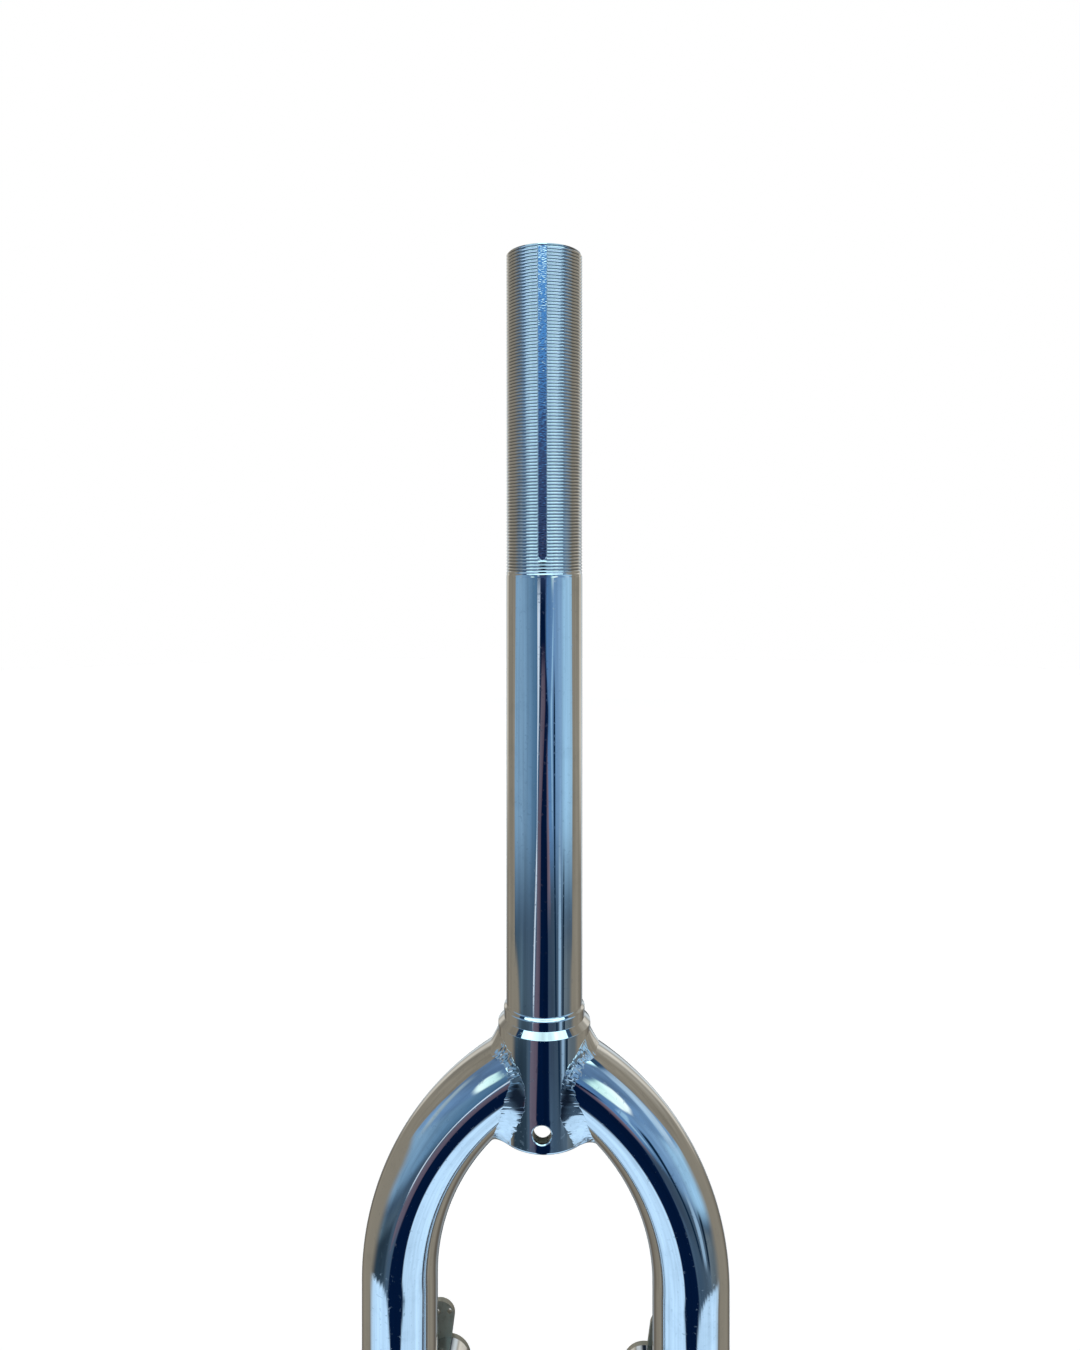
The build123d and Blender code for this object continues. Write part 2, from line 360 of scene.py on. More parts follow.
# %% The steerer as one closed surface
radius = np.repeat(rows[:, :1], len(columns), axis=1)
height = np.repeat(rows[:, 1:], len(columns), axis=1)
first_thread = len(lower) + len(window) + len(upper)
threaded = slice(first_thread, first_thread + len(thread))
radius[threaded] = thread_radius(height[threaded], columns[None, :])
tube = np.stack([radius * np.cos(columns), radius * np.sin(columns), height], axis=-1)
index = numbered(tube)
tube_points = tube.reshape(-1, 3)
kept = np.ones(index.shape, bool)
outer_rows = len(lower) + np.arange(WINDOW_ROWS)
inner_rows = len(rows) - len(last) - WINDOW_ROWS + np.arange(WINDOW_ROWS)
sleeve_points, sleeve_faces = [], []
count = len(tube_points)
for direction, side in ((REAR, -1), (FRONT, 1)):
    cols = np.flatnonzero(abs(columns - direction) < WINDOW_TURN + HAIR)
    kept[np.ix_(outer_rows[:-1], cols[:-1])] = False
    kept[np.ix_(inner_rows[:-1], cols[:-1])] = False
    outer_loop = window_loop(index, outer_rows, cols)
    inner_loop = window_loop(index, inner_rows[::-1], cols)
    rings = hole_sleeve(tube_points[outer_loop], tube_points[inner_loop], side)
    numbers = count + numbered(rings)
    count += numbers.size
    sleeve_points.append(rings.reshape(-1, 3))
    sleeve_faces.append(quads(np.vstack([outer_loop, numbers, inner_loop])))
tube_faces = quads(index, close_rows=True)[kept.reshape(-1)]
make_piece(
    "steerer",
    np.vstack([tube_points, *sleeve_points]),
    np.vstack([tube_faces, *sleeve_faces]),
    "turned_chrome",
    ["steerer_tube"],
)

# %% [markdown]
# ## The legs
#
# Each leg is one bent tube, mitred to the base. A curve with a round bevel would give its middle, but not its
# mitred end. On a grid the mitre is easy: every column of the tube starts its bend at its own angle, where
# that line of the tube meets the round base. Below the bend the leg runs straight, then rakes forward on a
# large arc while it tapers, and ends in a short straight tip.

# %% Line of a leg
LEG_RADIUS = 12.7 * MM
LEG_WALL = 1.6 * MM
TIP_RADIUS = 8.0 * MM
TIP_WALL = 1.8 * MM
TIP_STRAIGHT = 16 * MM
TIP_ANGLE = np.radians(22)
BEND_RADIUS = 82.3 * MM
JOINT_DROP = 23.0 * MM
DROPOUT_REACH = 26 * MM
LEG_COLUMNS = 96
axle = np.array(mounts["right_axle_slot"]["pos_m"])
leg_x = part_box("right_leg")[1].x - LEG_RADIUS
bend_x = leg_x - BEND_RADIUS
bend_z = -JOINT_DROP - np.sqrt(BEND_RADIUS**2 - (BASE_RADIUS - bend_x) ** 2)
tip_way = np.array([0, np.sin(TIP_ANGLE), -np.cos(TIP_ANGLE)])
tube_end = axle - tip_way * DROPOUT_REACH
rake_end = tube_end - tip_way * TIP_STRAIGHT
rake_radius = rake_end[1] / (1 - np.cos(TIP_ANGLE))
rake_z = rake_end[2] + rake_radius * np.sin(TIP_ANGLE)
around = np.linspace(0, 2 * np.pi, LEG_COLUMNS, endpoint=False)


def joint_angle(radius, turn):
    """Bend angle at which a line of the tube meets the base.

    Its cosine is the line's x on the base, less the x of the bend's middle, over the line's own bend radius.
    """
    base_x = np.sqrt(BASE_RADIUS**2 - (radius * np.sin(turn)) ** 2)
    return np.arccos((base_x - bend_x) / (BEND_RADIUS + radius * np.cos(turn)))


def bend_point(radius, turn, angle):
    """Point of the upper bend: a torus about the bend's middle, with the tube's own circle at each angle."""
    reach = BEND_RADIUS + radius * np.cos(turn)
    x = bend_x + reach * np.cos(angle)
    z = bend_z + reach * np.sin(angle)
    return np.stack(np.broadcast_arrays(x, radius * np.sin(turn), z), axis=-1)


print("leg axis", round(leg_x / MM, 2), "mm out, rake radius", round(rake_radius / MM, 1), "mm")

# %% Both legs
BEND_ROWS = 56
RAKE_ROWS = 48
INNER_ROWS = 14
SIDES = {"left": np.array([-1, 1, 1]), "right": np.array([1, 1, 1])}


def leg_sheet(top_radius, end_radius, bend_rows, rake_rows):
    """Rows of circles down the leg: the mitred bend, the straight, the raked taper and the tip."""
    start = joint_angle(top_radius, around)
    shares = np.linspace(1, 0, bend_rows)[:, None]
    bend = bend_point(top_radius, around[None, :], shares * start[None, :])
    share = np.linspace(0, 1, rake_rows)
    turn = np.append(TIP_ANGLE * share, TIP_ANGLE)
    middle = np.stack([
        leg_x + (axle[0] - leg_x) * ease(share),
        rake_radius * (1 - np.cos(TIP_ANGLE * share)),
        rake_z - rake_radius * np.sin(TIP_ANGLE * share),
    ], axis=-1)
    middle = np.vstack([middle, tube_end])
    radius = np.append(top_radius + (end_radius - top_radius) * share, end_radius)
    side = np.array([1, 0, 0])
    fore = np.stack([np.zeros_like(turn), np.cos(turn), np.sin(turn)], axis=-1)
    ring = np.cos(around)[None, :, None] * side + np.sin(around)[None, :, None] * fore[:, None, :]
    return np.vstack([bend, middle[:, None, :] + radius[:, None, None] * ring])


def make_side(side, name, sheet, slot, node):
    """Piece of one side from a closed sheet of the right side: x changes its sign for the left."""
    faces = quads(numbered(sheet), close_rows=True)
    return make_piece(f"{side}_{name}", sheet * SIDES[side], faces, slot, [f"{side}_{node}"])


outside = leg_sheet(LEG_RADIUS, TIP_RADIUS, BEND_ROWS, RAKE_ROWS)
inside = leg_sheet(LEG_RADIUS - LEG_WALL, TIP_RADIUS - TIP_WALL, INNER_ROWS, INNER_ROWS)
for side in SIDES:
    make_side(side, "leg_tube", np.vstack([outside, inside[::-1]]), "polished_chrome", "leg")

# %% [markdown]
# ## The weld beads
#
# A weld is laid as a row of overlapping puddles, so its bead shows crescents like a stack of coins, and its
# edges wander. It could be sculpted, but a formula does it better: a rounded profile is carried round
# the joint line, and its height rises and falls with the distance along that line. The crescents curve
# because the middle of the bead lags behind its edges. A crown bead is rough on its flanks only: its top is
# smooth, and below it runs out into a smooth web. A slanting band of painted shade, a crease, parts the flank
# from the web, and the mesh carries a mask of it for the finish.

# %% Ripples of a bead
CROWN_BEAD = 3.6 * MM
RIPPLE_PITCH = 1.25 * MM


def wander(turn, seed, waves=9):
    """Smooth random line round a loop: a sum of a few whole waves, between about -1 and 1."""
    draw = np.random.default_rng(seed)
    order = np.arange(2, 2 + waves)
    swing = draw.normal(0, 1, waves) / np.sqrt(waves)
    return (swing * np.sin(turn[:, None] * order + draw.uniform(0, 2 * np.pi, waves))).sum(axis=1)


def ripples(distance, across, lag, seed):
    """Crescents: a steep saw of the distance in ripple pitches, each ripple with a random height.

    The phase lags most in the middle of the bead: the lag times 1 - (2w - 1) squared, w being the share across.
    """
    phase = distance / RIPPLE_PITCH + lag * (1 - (2 * across - 1) ** 2)
    number = np.floor(phase).astype(int)
    draw = np.random.default_rng(seed).uniform(0.1, 1.5, number.max() + 2)
    share = phase - np.floor(phase)
    return draw[number] * (np.clip(1.25 * share, 0, 1) * ease((1 - share) * 5) - 0.5)


def crinkle(distance, across, seed, waves=30):
    """Lumps of a cooled puddle: a sum of small waves, 1.3 to 4 mm long, that run in random directions."""
    draw = np.random.default_rng(seed)
    way = draw.uniform(0, np.pi, waves)
    length = draw.uniform(1.3, 4.0, waves) * MM
    start = draw.uniform(0, 2 * np.pi, waves)
    total = 0 * (distance + across)
    for turn, long, phase in zip(way, length, start):
        path = distance * np.cos(turn) + across * 1.5 * CROWN_BEAD * np.sin(turn)
        total = total + np.sin(2 * np.pi * path / long + phase)
    return total / np.sqrt(waves / 2)


print("ripples every", RIPPLE_PITCH / MM, "mm")

# %% Bead round each mitre
RIPPLE_HEIGHT = 0.18
RIPPLE_LAG = 1.3
RIPPLE_SHARE, CRINKLE_SHARE = 0.7, 0.6
BEAD_SINK = 0.25 * MM
BEAD_COLUMNS = 900
BEAD_ROWS = 24
JAGS_PER_RIPPLE = 1.6
JAG_DRAWS = 4000
JAG_POWER = 6
# Slant and width of the band of painted shade in the crease.
CREASE_SHADE_SLANT = 0.55
CREASE_SHADE_WIDTH = 0.27
CROWN_SEEDS = {"left": 5, "right": 11}


def crown_bead(seed):
    """Bead between the base and the leg as a sheet of points, and the mask of its painted crease shade.

    A point is the joint + a x the way to the toe on the base + b x the way to the toe on the leg. Across the
    bead a falls from 1 to 0 and b rises from 0 to 1, as powers of a cosine and a sine.
    """
    turn = np.linspace(0, 2 * np.pi, BEAD_COLUMNS, endpoint=False)
    angle = joint_angle(LEG_RADIUS, turn)
    joint = bend_point(LEG_RADIUS, turn, angle)
    ahead = np.roll(joint, -1, axis=0)
    along = ahead - np.roll(joint, 1, axis=0)
    along /= np.linalg.norm(along, axis=1, keepdims=True)
    distance = np.concatenate([[0], np.cumsum(np.linalg.norm(ahead - joint, axis=1))[:-1]])
    distance = distance + RIPPLE_PITCH * (0.5 * wander(turn, seed + 2) + 0.3 * wander(8 * turn, seed + 4))

    # Where along the joint the bead is low, rough, smooth on top, slim or a web, each from 0 to 1.
    from_top = np.minimum(turn, 2 * np.pi - turn)
    low = ease(-np.cos(turn))
    rough = ease((np.cos(turn) + 0.1) / 0.45) * ease((from_top - 0.4) / 0.4)
    smooth_top = ease((from_top - 0.3) / 0.4)
    slim = ease((from_top - 0.45) / 0.5)
    web = ease((0.15 - np.cos(turn)) / 0.6)
    jag_number = (distance / RIPPLE_PITCH * JAGS_PER_RIPPLE).astype(int)
    jag = np.random.default_rng(seed + 3).uniform(0, 1, JAG_DRAWS)[jag_number] * smooth_top

    # The way to the toe on the base: square to the joint line, and more level low on the flanks.
    base_out = joint * np.array([1, 1, 0]) / BASE_RADIUS
    base_side = np.cross(along, base_out)
    base_side *= np.sign((base_side * (joint - joint.mean(axis=0))).sum(axis=1))[:, None]
    level = np.stack([-abs(joint[:, 1]), np.sign(joint[:, 1]) * joint[:, 0], 0 * turn], axis=-1) / BASE_RADIUS
    base_side = base_side + level * (0.8 * low * abs(np.sin(turn)))[:, None]
    base_side /= np.linalg.norm(base_side, axis=1, keepdims=True)

    def on_base(reach):
        toe = joint + base_side * CROWN_BEAD * reach[:, None]
        toe[:, :2] *= (BASE_RADIUS / np.hypot(toe[:, 0], toe[:, 1]))[:, None]
        below = np.clip(BASE_BOTTOM + BASE_EDGE / 2 - toe[:, 2], 0, None)
        toe[:, 2] += 0.85 * below
        toe[:, :2] *= (1 - 0.25 * below / BASE_RADIUS)[:, None]
        return toe

    def on_leg(reach):
        bend_reach = BEND_RADIUS + LEG_RADIUS * np.cos(turn)
        return bend_point(LEG_RADIUS, turn, angle - CROWN_BEAD * reach / bend_reach)

    reach_base = 1 - 0.15 * slim + 0.15 * web + 0.4 * low + 0.16 * wander(turn, seed)
    reach_leg = 0.9 - 0.5 * slim + 0.65 * web + 0.1 * wander(turn, seed + 1)
    base_toe, base_edge = on_base(reach_base), on_base(reach_base + jag * (0.16 + 0.24 * low))
    leg_toe, leg_edge = on_leg(reach_leg), on_leg(reach_leg + jag * (0.32 - 0.2 * low))

    # The face swells with the ripples, and only its outermost rows follow the jagged edges.
    across = np.linspace(0, 1, BEAD_ROWS)[:, None]
    path = distance[None, :]
    wave = RIPPLE_SHARE * ripples(path, across, RIPPLE_LAG, seed)
    wave = wave + CRINKLE_SHARE * crinkle(path, across, seed + 5)
    wave = wave * (0.02 + 0.98 * rough) * smooth_top
    swell = 1 + RIPPLE_HEIGHT * wave * np.sin(np.pi * across) ** 0.7
    hollow = 1.75 + 0.55 * np.cos(turn) ** 2
    a = np.cos(np.pi / 2 * across) ** hollow * swell
    b = np.sin(np.pi / 2 * across) ** hollow * swell
    face = joint + a[..., None] * (base_toe - joint) + b[..., None] * (leg_toe - joint)
    face = face + a[..., None] ** JAG_POWER * (base_edge - base_toe)
    face = face + b[..., None] ** JAG_POWER * (leg_edge - leg_toe)

    # The back of the bead is sunk into the joint, so that no light passes under its edges.
    deep = (base_toe + leg_toe) / 2 - joint
    deep /= np.linalg.norm(deep, axis=1, keepdims=True)
    sunk = np.stack([leg_edge, joint, base_edge]) - deep * BEAD_SINK

    # Painted shade in the crease: a band slants over the flank and ends short of both toes, with jagged edges.
    slant = np.cos(turn) + 0.08 - CREASE_SHADE_SLANT * (across - 0.45)
    band = ease(1.2 - abs(slant) / CREASE_SHADE_WIDTH + 0.5 * (jag - 0.5))
    crease_shade = band * ease(across / 0.12) * ease((0.95 - across + 0.3 * (jag - 0.5)) / 0.4)
    return np.vstack([face, sunk]), np.vstack([crease_shade, 0 * sunk[..., 0]])


for side in SIDES:
    bead, crease_shade = crown_bead(CROWN_SEEDS[side])
    piece = make_side(side, "crown_bead", bead, "weld_chrome", "crown_weld")
    # The mesh carries the mask of the painted shade in the crease.
    mask = piece.data.attributes.new("crease_shade", "FLOAT", "POINT")
    mask.data.foreach_set("value", crease_shade.astype(np.float32).ravel())

# %% Bead round each leg tip
TIP_BEAD = 1.8 * MM
TIP_SINK = 0.2 * MM
TIP_LAG = 0.6
TIP_BEAD_COLUMNS = 360
TIP_BEAD_ROWS = 17
TIP_SEEDS = {"left": 7, "right": 8}


def tip_bead(seed):
    """Ring round the leg's tip: a half circle of bead radius carried round the tube, rippled along its way."""
    turn = np.linspace(0, 2 * np.pi, TIP_BEAD_COLUMNS, endpoint=False)
    share = np.linspace(0, 1, TIP_BEAD_ROWS)[:, None]
    wave = ripples(turn[None, :] * TIP_RADIUS, share, TIP_LAG, seed)
    bead = TIP_BEAD * (0.94 + 0.07 * wave * np.sin(np.pi * share) + 0.03 * wander(turn, seed))
    lift = TIP_RADIUS - TIP_SINK + bead * np.sin(np.pi * share)
    slide = -bead * np.cos(np.pi * share)
    fore = np.array([0, np.cos(TIP_ANGLE), np.sin(TIP_ANGLE)])
    ring = np.cos(turn)[:, None] * np.array([1, 0, 0]) + np.sin(turn)[:, None] * fore
    return tube_end + lift[..., None] * ring + slide[..., None] * tip_way


for side in SIDES:
    make_side(side, "tip_bead", tip_bead(TIP_SEEDS[side]), "weld_chrome", "dropout_weld")

# %% [markdown]
# ## Writing shaders as sums
#
# A finish is easier to read as arithmetic than as a web of boxes. This class holds one socket. Adding or
# multiplying two of them makes the Math nodes, and every other node comes from one method.

# %% Shader arithmetic
class Shade:
    """One socket of a node tree: operators add Math nodes, and node() adds any other."""

    def __init__(self, tree, socket=None):
        self.tree = tree
        self.socket = socket

    def node(self, kind, settings=None, inputs=None, output=0):
        made = self.tree.nodes.new(kind)
        for key, value in (settings or {}).items():
            setattr(made, key, value)
        for key, value in (inputs or {}).items():
            if isinstance(value, Shade):
                self.tree.links.new(value.socket, made.inputs[key])
            else:
                made.inputs[key].default_value = value
        return Shade(self.tree, made.outputs[output] if len(made.outputs) else None)

    def math(self, operation, *values):
        return self.node("ShaderNodeMath", {"operation": operation}, dict(enumerate(values)))

    def __add__(self, other):
        return self.math("ADD", self, other)

    def __sub__(self, other):
        return self.math("SUBTRACT", self, other)

    def __rsub__(self, other):
        return self.math("SUBTRACT", other, self)

    def __mul__(self, other):
        return self.math("MULTIPLY", self, other)

    __radd__ = __add__
    __rmul__ = __mul__

    def clamp(self):
        return self.node("ShaderNodeClamp", inputs={"Value": self})

    def step(self, low, high):
        """Smooth step of this value from 0 at low to 1 at high, the first three sockets of Map Range."""
        return self.node("ShaderNodeMapRange", {"interpolation_type": "SMOOTHSTEP"}, {0: self, 1: low, 2: high})

    def mix(self, first, second):
        """Colour from first to second as this value goes from 0 to 1: Mix has its colours at 6, 7 and 2."""
        return self.node("ShaderNodeMix", {"data_type": "RGBA"}, {0: self, 6: first, 7: second}, output=2)


print("sums of sockets are ready")

# %% Starting and wiring a finish
def start_material(name):
    """New material with its Principled shader, and a Shade to begin sums with."""
    material = bpy.data.materials.new(name)
    material.use_nodes = True
    shader = material.node_tree.nodes["Principled BSDF"]
    return material, shader, Shade(material.node_tree)


def clear_tree(owner):
    """Shade for a material or world whose nodes are all made one by one."""
    owner.use_nodes = True
    owner.node_tree.nodes.clear()
    return Shade(owner.node_tree)


def noise(place, scale, detail=2.0, rough=0.5, stretch=(1, 1, 1)):
    """Noise in object space: scale in bumps to the metre, stretched by axis."""
    spot = place.node("ShaderNodeMapping", inputs={"Vector": place, "Scale": [scale * s for s in stretch]})
    inputs = {"Vector": spot, "Scale": 1.0, "Detail": detail, "Roughness": rough}
    return place.node("ShaderNodeTexNoise", inputs=inputs)


def wire(shader, shade, **sockets):
    """Link or set the Principled sockets named in words, with _ for a space."""
    for name, value in sockets.items():
        socket = shader.inputs[name.replace("_", " ")]
        if isinstance(value, Shade):
            shade.tree.links.new(value.socket, socket)
        else:
            socket.default_value = value


print("materials so far:", len(bpy.data.materials))

# %% [markdown]
# ## Four chrome finishes
#
# Chrome is a mirror, so its colour is mostly what stands round it. What makes it look real is the small
# trouble in the mirror: faint drawing lines, a slow waviness from polishing, cloudy spots and pits. They are
# made here with noise that feeds roughness and a Bump node, at sizes taken from the real metal. The bath
# hardly reaches into the steerer, so its bore and the cross hole's wall stay bare and dull. Painted shade
# darkens the roots of the thread and the crease of a crown bead. The stamped plates were never polished.

# %% Chrome finishes
PLATING = (0.66, 0.68, 0.70, 1)
PLATING_CLOUD = (0.58, 0.605, 0.63, 1)
DULL = (0.30, 0.28, 0.225, 1)
DULL_CLOUD = (0.22, 0.206, 0.166, 1)
BARE_STEEL = (0.60, 0.53, 0.43, 1)
# Painted shade for the roots of the thread.
ROOT_SHADE_PAINT = (0.10, 0.13, 0.17, 1)
# Painted shade for the crease of a crown bead.
CREASE_SHADE_COLOUR = (0.03, 0.045, 0.08, 1)
BARE_ROUGHNESS = 0.5
WAVES, DRAWN_LINES, GRAINS, CLOUDS, PITS = 55, 2600, 5200, 130, 900
LINE_STRETCH = (1, 1, 0.012)


def steerer_masks(shade, place):
    """Two masks by distance from the axis: bare inside the bore and the cross hole, and painted shade in thread
    roots.
    """
    x, y, z = [shade.node("ShaderNodeSeparateXYZ", inputs={"Vector": place}, output=axis) for axis in "XYZ"]
    radius = shade.math("SQRT", x * x + y * y)
    bore = 1 - radius.step(BORE_RADIUS, BORE_RADIUS + 0.2 * MM)
    in_base = z.step(BASE_BOTTOM + 0.5 * MM, BASE_BOTTOM + 0.7 * MM) * (1 - z.step(-3 * MM, -2 * MM))
    bare = (bore + in_base * (1 - radius.step(BASE_RADIUS - 1.2 * MM, BASE_RADIUS - 0.8 * MM))).clamp()
    # Painted shade: the roots of the thread are darkened, on the threaded stretch only.
    root = STEERER_RADIUS - THREAD_DEPTH
    low = 1 - radius.step(root + 0.02 * THREAD_DEPTH, root + 0.36 * THREAD_DEPTH)
    on_thread = z.step(THREAD_BOTTOM, THREAD_BOTTOM + THREAD_FADE)
    root_shade = low * radius.step(root - 0.2 * MM, root - 0.1 * MM) * on_thread
    return bare, root_shade


def chrome(
    name, waviness, lines, grain, roughness,
    colours=(PLATING, PLATING_CLOUD), metallic=1.0, hollow=False, crease_shaded=False,
):
    """Chrome with slow waves, fine lines along the tube, pits and cloudy spots, in heights of metres."""
    material, shader, shade = start_material(name)
    place = shade.node("ShaderNodeTexCoord", output="Object")
    slow = noise(place, WAVES, 1.0)
    drawn = noise(place, DRAWN_LINES, 2.0, 0.6, LINE_STRETCH)
    fine = noise(place, GRAINS, 3.0, 0.7)
    cloud = noise(place, CLOUDS, 4.0, 0.65)
    pits = noise(place, PITS, 0.0).step(0.70, 0.76)
    height = slow * waviness + drawn * lines + fine * grain - pits * (grain * 2)
    bump = shade.node("ShaderNodeBump", inputs={"Strength": 1.0, "Distance": 1.0, "Height": height})
    spots = cloud.step(0.48, 0.72)
    colour = (spots * 0.6 + pits * 0.4).clamp().mix(*colours)
    rough = roughness + spots * 0.03 + fine * 0.02 + pits * 0.1
    if hollow:
        bare, root_shade = steerer_masks(shade, place)
        # Painted shade darkens the thread roots, and the bore and the cross hole show bare steel.
        colour = (root_shade * 0.85).mix(bare.mix(colour, BARE_STEEL), ROOT_SHADE_PAINT)
        rough = rough + bare * (BARE_ROUGHNESS - roughness)
    # Painted shade darkens the crease of a crown bead.
    if crease_shaded:
        crease_shade = shade.node("ShaderNodeAttribute", {"attribute_name": "crease_shade"}, output="Fac")
        colour = (crease_shade * 0.9).mix(colour, CREASE_SHADE_COLOUR)
    wire(shader, shade, Base_Color=colour, Metallic=metallic, Roughness=rough, Normal=bump)
    return material


# Each finish has the heights of its waves, lines and grain in metres, then its roughness.
finishes = {
    "polished_chrome": chrome("polished_chrome", 1.1e-5, 6e-8, 1e-8, 0.02),
    "turned_chrome": chrome("turned_chrome", 0.6e-5, 1.4e-7, 1.5e-8, 0.025, hollow=True),
    "weld_chrome": chrome("weld_chrome", 1.5e-5, 0.0, 3e-7, 0.06, crease_shaded=True),
    "stamped_chrome": chrome("stamped_chrome", 1.5e-5, 0.0, 6e-7, 0.42, (DULL, DULL_CLOUD), 0.25),
}
node_slots = {entry["node"]: entry["material_slot"] for entry in record["subparts"]}
for name, node in frame["nodes"].items():
    node.data.materials.clear()
    node.data.materials.append(finishes[node_slots[name]])
for piece in bpy.data.objects:
    if "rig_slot" in piece:
        piece.data.materials.append(finishes[piece["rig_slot"]])
print("finishes:", ", ".join(finishes))

# %% [markdown]
# ## What the chrome sees
#
# A mirror has to be given something to show. Round the fork stands a large dome, painted with patches of sky,
# floor, sheets and dark room. Each patch lies between two compass angles at each of some heights, has a
# colour at either end and fades at its edges. Cards on stands would do as well, but they cost a ray for every
# layer, and a dome has one. The camera doesn't see it, so the backdrop stays plain white. A compass angle of
# 0 is the camera's side, and positive angles are to the right. The far side, near 180, shows only in a thin
# line along the outlines of the tubes, so it has a coarser grid.

# %% A dome to paint
DOME_RADIUS = 4.0
REFLECTANCE = 0.66
DISPLAY_GAMMA = 2.2
SLATE = (64, 84, 104)
NEAR_END = 110
NEAR_STEP = 0.55
FAR_STEP = 4
POLE = 89.9
HEIGHT_ROWS = 221
near_side = np.arange(-NEAR_END, NEAR_END, NEAR_STEP)
far_side = np.arange(NEAR_END, 360 - NEAR_END, FAR_STEP)
height_rows = np.linspace(-POLE, POLE, HEIGHT_ROWS)
compass, heights = np.meshgrid(np.concatenate([near_side, far_side]), height_rows)


def light(red, green, blue):
    """Linear light that shows as this sRGB colour, from 0 to 255, in the plating."""
    return (np.array([red, green, blue]) / 255) ** DISPLAY_GAMMA / REFLECTANCE


picture = np.zeros(compass.shape + (3,)) + light(*SLATE)


def paint(rows, ends, feather=(4, 4)):
    """Lay one patch over the picture, shaded from its left end to its right.

    The rows hold height, left and right in degrees, from low to high, and the sides run straight between
    them. The edges fade over the feather, given for the sides and for the top and bottom.
    """
    level, left, right = np.array(rows, float).T
    left = np.interp(heights, level, left)
    right = np.interp(heights, level, right)
    spot = (compass - (left + right) / 2 + 180) % 360 - 180
    solid = ease(((right - left) / 2 - abs(spot)) / feather[0] + 0.5)
    solid = solid * ease((heights - level[0]) / feather[1] + 0.5)
    solid = solid * ease((level[-1] - heights) / feather[1] + 0.5)
    share = np.clip(spot / (right - left) + 0.5, 0, 1)[..., None]
    glow = light(*ends[0]) * (1 - share) + light(*ends[1]) * share
    picture[:] += (glow - picture) * solid[..., None]


print("picture", picture.shape)

# %% Sky and shade
# Pale sky level with the fork, from left to right.
paint([(-16, -106, -62), (8, -96, -62)], [(118, 152, 180), (116, 150, 178)], (6, 8))
paint([(-16, -64, -14), (8, -64, -14)], [(116, 150, 178), (58, 94, 126)], (6, 8))
paint([(-16, 8, 60), (8, 8, 60)], [(66, 106, 152), (122, 156, 188)], (6, 8))
paint([(-16, 58, 106), (8, 58, 96)], [(138, 178, 208), (146, 184, 210)], (6, 8))

# Higher sky, darker towards its top, with a bright strip on either side.
paint([(6, -96, -8), (38, -84, -8)], [(116, 150, 186), (66, 98, 136)], (6, 8))
paint([(6, 8, 96), (38, 8, 88)], [(66, 100, 140), (122, 158, 194)], (6, 8))
paint([(18, -84, -8), (40, -80, -8)], [(94, 120, 150), (66, 94, 128)], (6, 10))
paint([(18, 8, 88), (40, 8, 84)], [(70, 100, 136), (104, 134, 166)], (6, 10))
paint([(5, -77, -67), (26, -76, -67)], [(142, 160, 170), (128, 150, 164)], (5, 8))
paint([(5, 68, 84), (35, 66, 82)], [(150, 182, 208), (172, 198, 218)], (5, 10))

# Shade below the sky, for the lowest part of the steerer and its base.
paint([(-34, -98, -66), (-20, -98, -66)], [(50, 66, 76), (80, 101, 116)], (8, 5))
paint([(-37, -70, -36), (-21, -70, -36)], [(72, 92, 106), (70, 88, 104)], (10, 6))
paint([(-35, -96, -40), (-25, -96, -40)], [(38, 52, 62), (46, 62, 76)], (8, 4))
paint([(-37, 28, 66), (-21, 28, 66)], [(58, 77, 96), (78, 95, 110)], (10, 6))
paint([(-34, 62, 98), (-20, 62, 98)], [(94, 108, 118), (84, 93, 98)], (8, 5))
print("sky and shade, mean light", picture.mean(axis=(0, 1)).round(2))

# %% Sheets below and the far side
TAUPE = (128, 122, 110)
UMBER = (62, 58, 56)
SHEET = (180, 213, 241)

# Two pale sheets low in front, each with a dark outer edge, and brown behind.
left_sheet = [(-99, -87, -12), (-42, -87, -12), (-39, -88, -20), (-37, -89, -30), (-35, -91, -44)]
left_sheet += [(-32, -94, -86)]
right_sheet = [(-99, 8, 80), (-42, 8, 80), (-39, 14, 81), (-37, 30, 83), (-35, 46, 86), (-32, 82, 90)]
paint(left_sheet, [SHEET, SHEET], (5, 3))
paint(right_sheet, [SHEET, (186, 219, 246)], (5, 3))
paint([(-99, -97, -87), (-33, -99, -91)], [UMBER, UMBER], (3, 4))
paint([(-99, 79, 92), (-33, 84, 95)], [UMBER, UMBER], (3, 4))
behind = [(-99, 92, 264), (-33, 94, 264), (-10, 97, 262), (5, 93, 268), (20, 85, 278), (45, 80, 282)]
behind += [(99, 80, 282)]
paint(behind, [TAUPE, TAUPE], (4, 4))

# Lighter brown, a dark band that deepens the edges of the thread, and darker brown low down. In the middle
# a grey stretch has pale strips and a dark line.
paint([(6, 118, 242), (44, 122, 238)], [(148, 143, 132), (118, 113, 103)], (16, 14))
paint([(44, 92, 268), (62, 96, 264)], [(58, 58, 54), (58, 58, 54)], (8, 6))
paint([(-70, 128, 232), (-18, 136, 224)], [(92, 86, 78), (92, 86, 78)], (24, 20))
paint([(-80, 152, 208), (64, 152, 208)], [(125, 130, 132), (125, 130, 132)], (16, 14))
paint([(-20, 154, 165), (52, 152, 166)], [(190, 196, 198), (180, 186, 188)], (4, 10))
paint([(-20, 195, 206), (52, 194, 208)], [(180, 186, 188), (190, 196, 198)], (4, 10))
paint([(-62, 173, 186), (-20, 170, 189), (60, 172, 187)], [(20, 28, 38), (34, 42, 52)], (5, 10))
paint([(-12, 138, 150), (42, 134, 148)], [(204, 198, 186), (196, 190, 178)], (8, 10))
